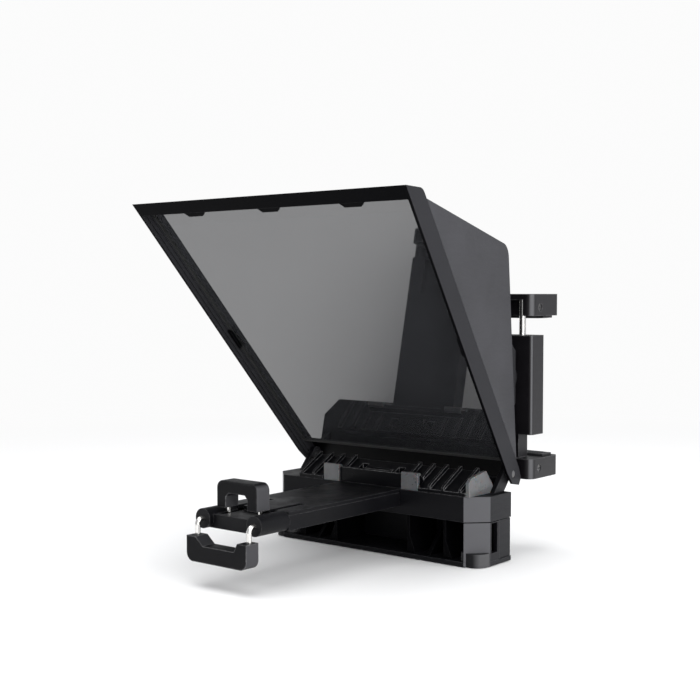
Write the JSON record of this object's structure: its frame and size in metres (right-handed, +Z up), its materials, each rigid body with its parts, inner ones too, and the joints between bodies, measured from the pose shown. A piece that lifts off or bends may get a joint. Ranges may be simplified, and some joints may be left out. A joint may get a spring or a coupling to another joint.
{
  "type": "teleprompter",
  "caption": "Foldable teleprompter: a sloped beam-splitter in a tapering black hood, a ribbed folding tray with spring-wire device jaws, and a phone clamp behind the lens plate.",
  "frame": {"origin": "on the lens axis, at the rear face of the lens ring", "axes": "+X to the reader's right, +Y from the reader towards the camera, +Z up"},
  "size_m": [0.2, 0.209, 0.208],
  "materials": {
    "frame_plastic": "fine satin moulding",
    "trim_plastic": "satin moulding",
    "hood_panel": "matt fine-grain panel",
    "plate_plastic": "matt fine-grain moulding",
    "beam_splitter": "half-silvered, polished",
    "bead_rubber": "soft matt bead",
    "ring_metal": "black anodised, turned",
    "clamp_plastic": "satin moulding",
    "pad_rubber": "ribbed soft rubber",
    "bright_steel": "drawn bright wire",
    "screw_steel": "blackened steel",
    "base_plastic": "fine satin moulding",
    "foot_rubber": "soft matt rubber",
    "deck_plastic": "satin moulding",
    "clear_silicone": "smoky translucent silicone",
    "arm_plastic": "satin moulding",
    "jaw_plastic": "satin moulding"
  },
  "bodies": {
    "hood": {"glass_frame": "frame_plastic", "beam_splitter_glass": "beam_splitter", "glass_bead": "bead_rubber", "glass_tabs": "trim_plastic", "side_clips": "trim_plastic", "hood_side_right": "hood_panel", "hood_side_left": "hood_panel", "hood_top": "hood_panel", "lens_plate": "plate_plastic", "plate_collar": "plate_plastic", "plate_lip": "plate_plastic", "lens_ring": "ring_metal", "hinge_pins": "screw_steel", "clamp_bracket": "plate_plastic", "clamp_neck": "plate_plastic", "clamp_body": "clamp_plastic", "clamp_bottom_jaw": "clamp_plastic", "clamp_bottom_screw": "screw_steel", "clamp_back_pad": "pad_rubber", "clamp_bottom_pad": "pad_rubber"},
    "tray": {"base_lower": "base_plastic", "base_ribs": "trim_plastic", "base_cover": "base_plastic", "corner_feet": "foot_rubber", "base_screws": "screw_steel", "base_upper": "base_plastic", "hinge_cheeks": "base_plastic", "ribbed_deck": "deck_plastic", "deck_end_plate": "clear_silicone", "rear_bar": "deck_plastic", "rear_bar_pads": "clear_silicone", "arm_channel": "arm_plastic", "arm_cover": "arm_plastic", "guide_block": "arm_plastic"},
    "inner_jaw": {"inner_jaw": "jaw_plastic", "inner_jaw_lining": "pad_rubber", "inner_jaw_wires": "bright_steel"},
    "outer_jaw": {"outer_jaw": "jaw_plastic", "outer_jaw_lining": "pad_rubber", "outer_jaw_wires": "bright_steel"},
    "clamp_jaw": {"clamp_top_jaw": "clamp_plastic", "clamp_rods": "bright_steel", "clamp_top_screw": "screw_steel", "clamp_top_pad": "pad_rubber"}
  },
  "joints": [
    {"name": "tray_fold", "type": "hinge", "parent": "hood", "child": "tray", "pos_m": [0, 0, -0.07], "axis": [-1, 0, 0], "range_deg": [0, 33]},
    {"name": "inner_jaw_slide", "type": "slide", "parent": "tray", "child": "inner_jaw", "axis": [0, 1, 0], "range_m": [-0.004, 0.03]},
    {"name": "outer_jaw_slide", "type": "slide", "parent": "tray", "child": "outer_jaw", "axis": [0, -1, 0], "range_m": [0, 0.066]},
    {"name": "clamp_jaw_slide", "type": "slide", "parent": "hood", "child": "clamp_jaw", "axis": [0, 0, 1], "range_m": [-0.008, 0.016]}
  ]
}
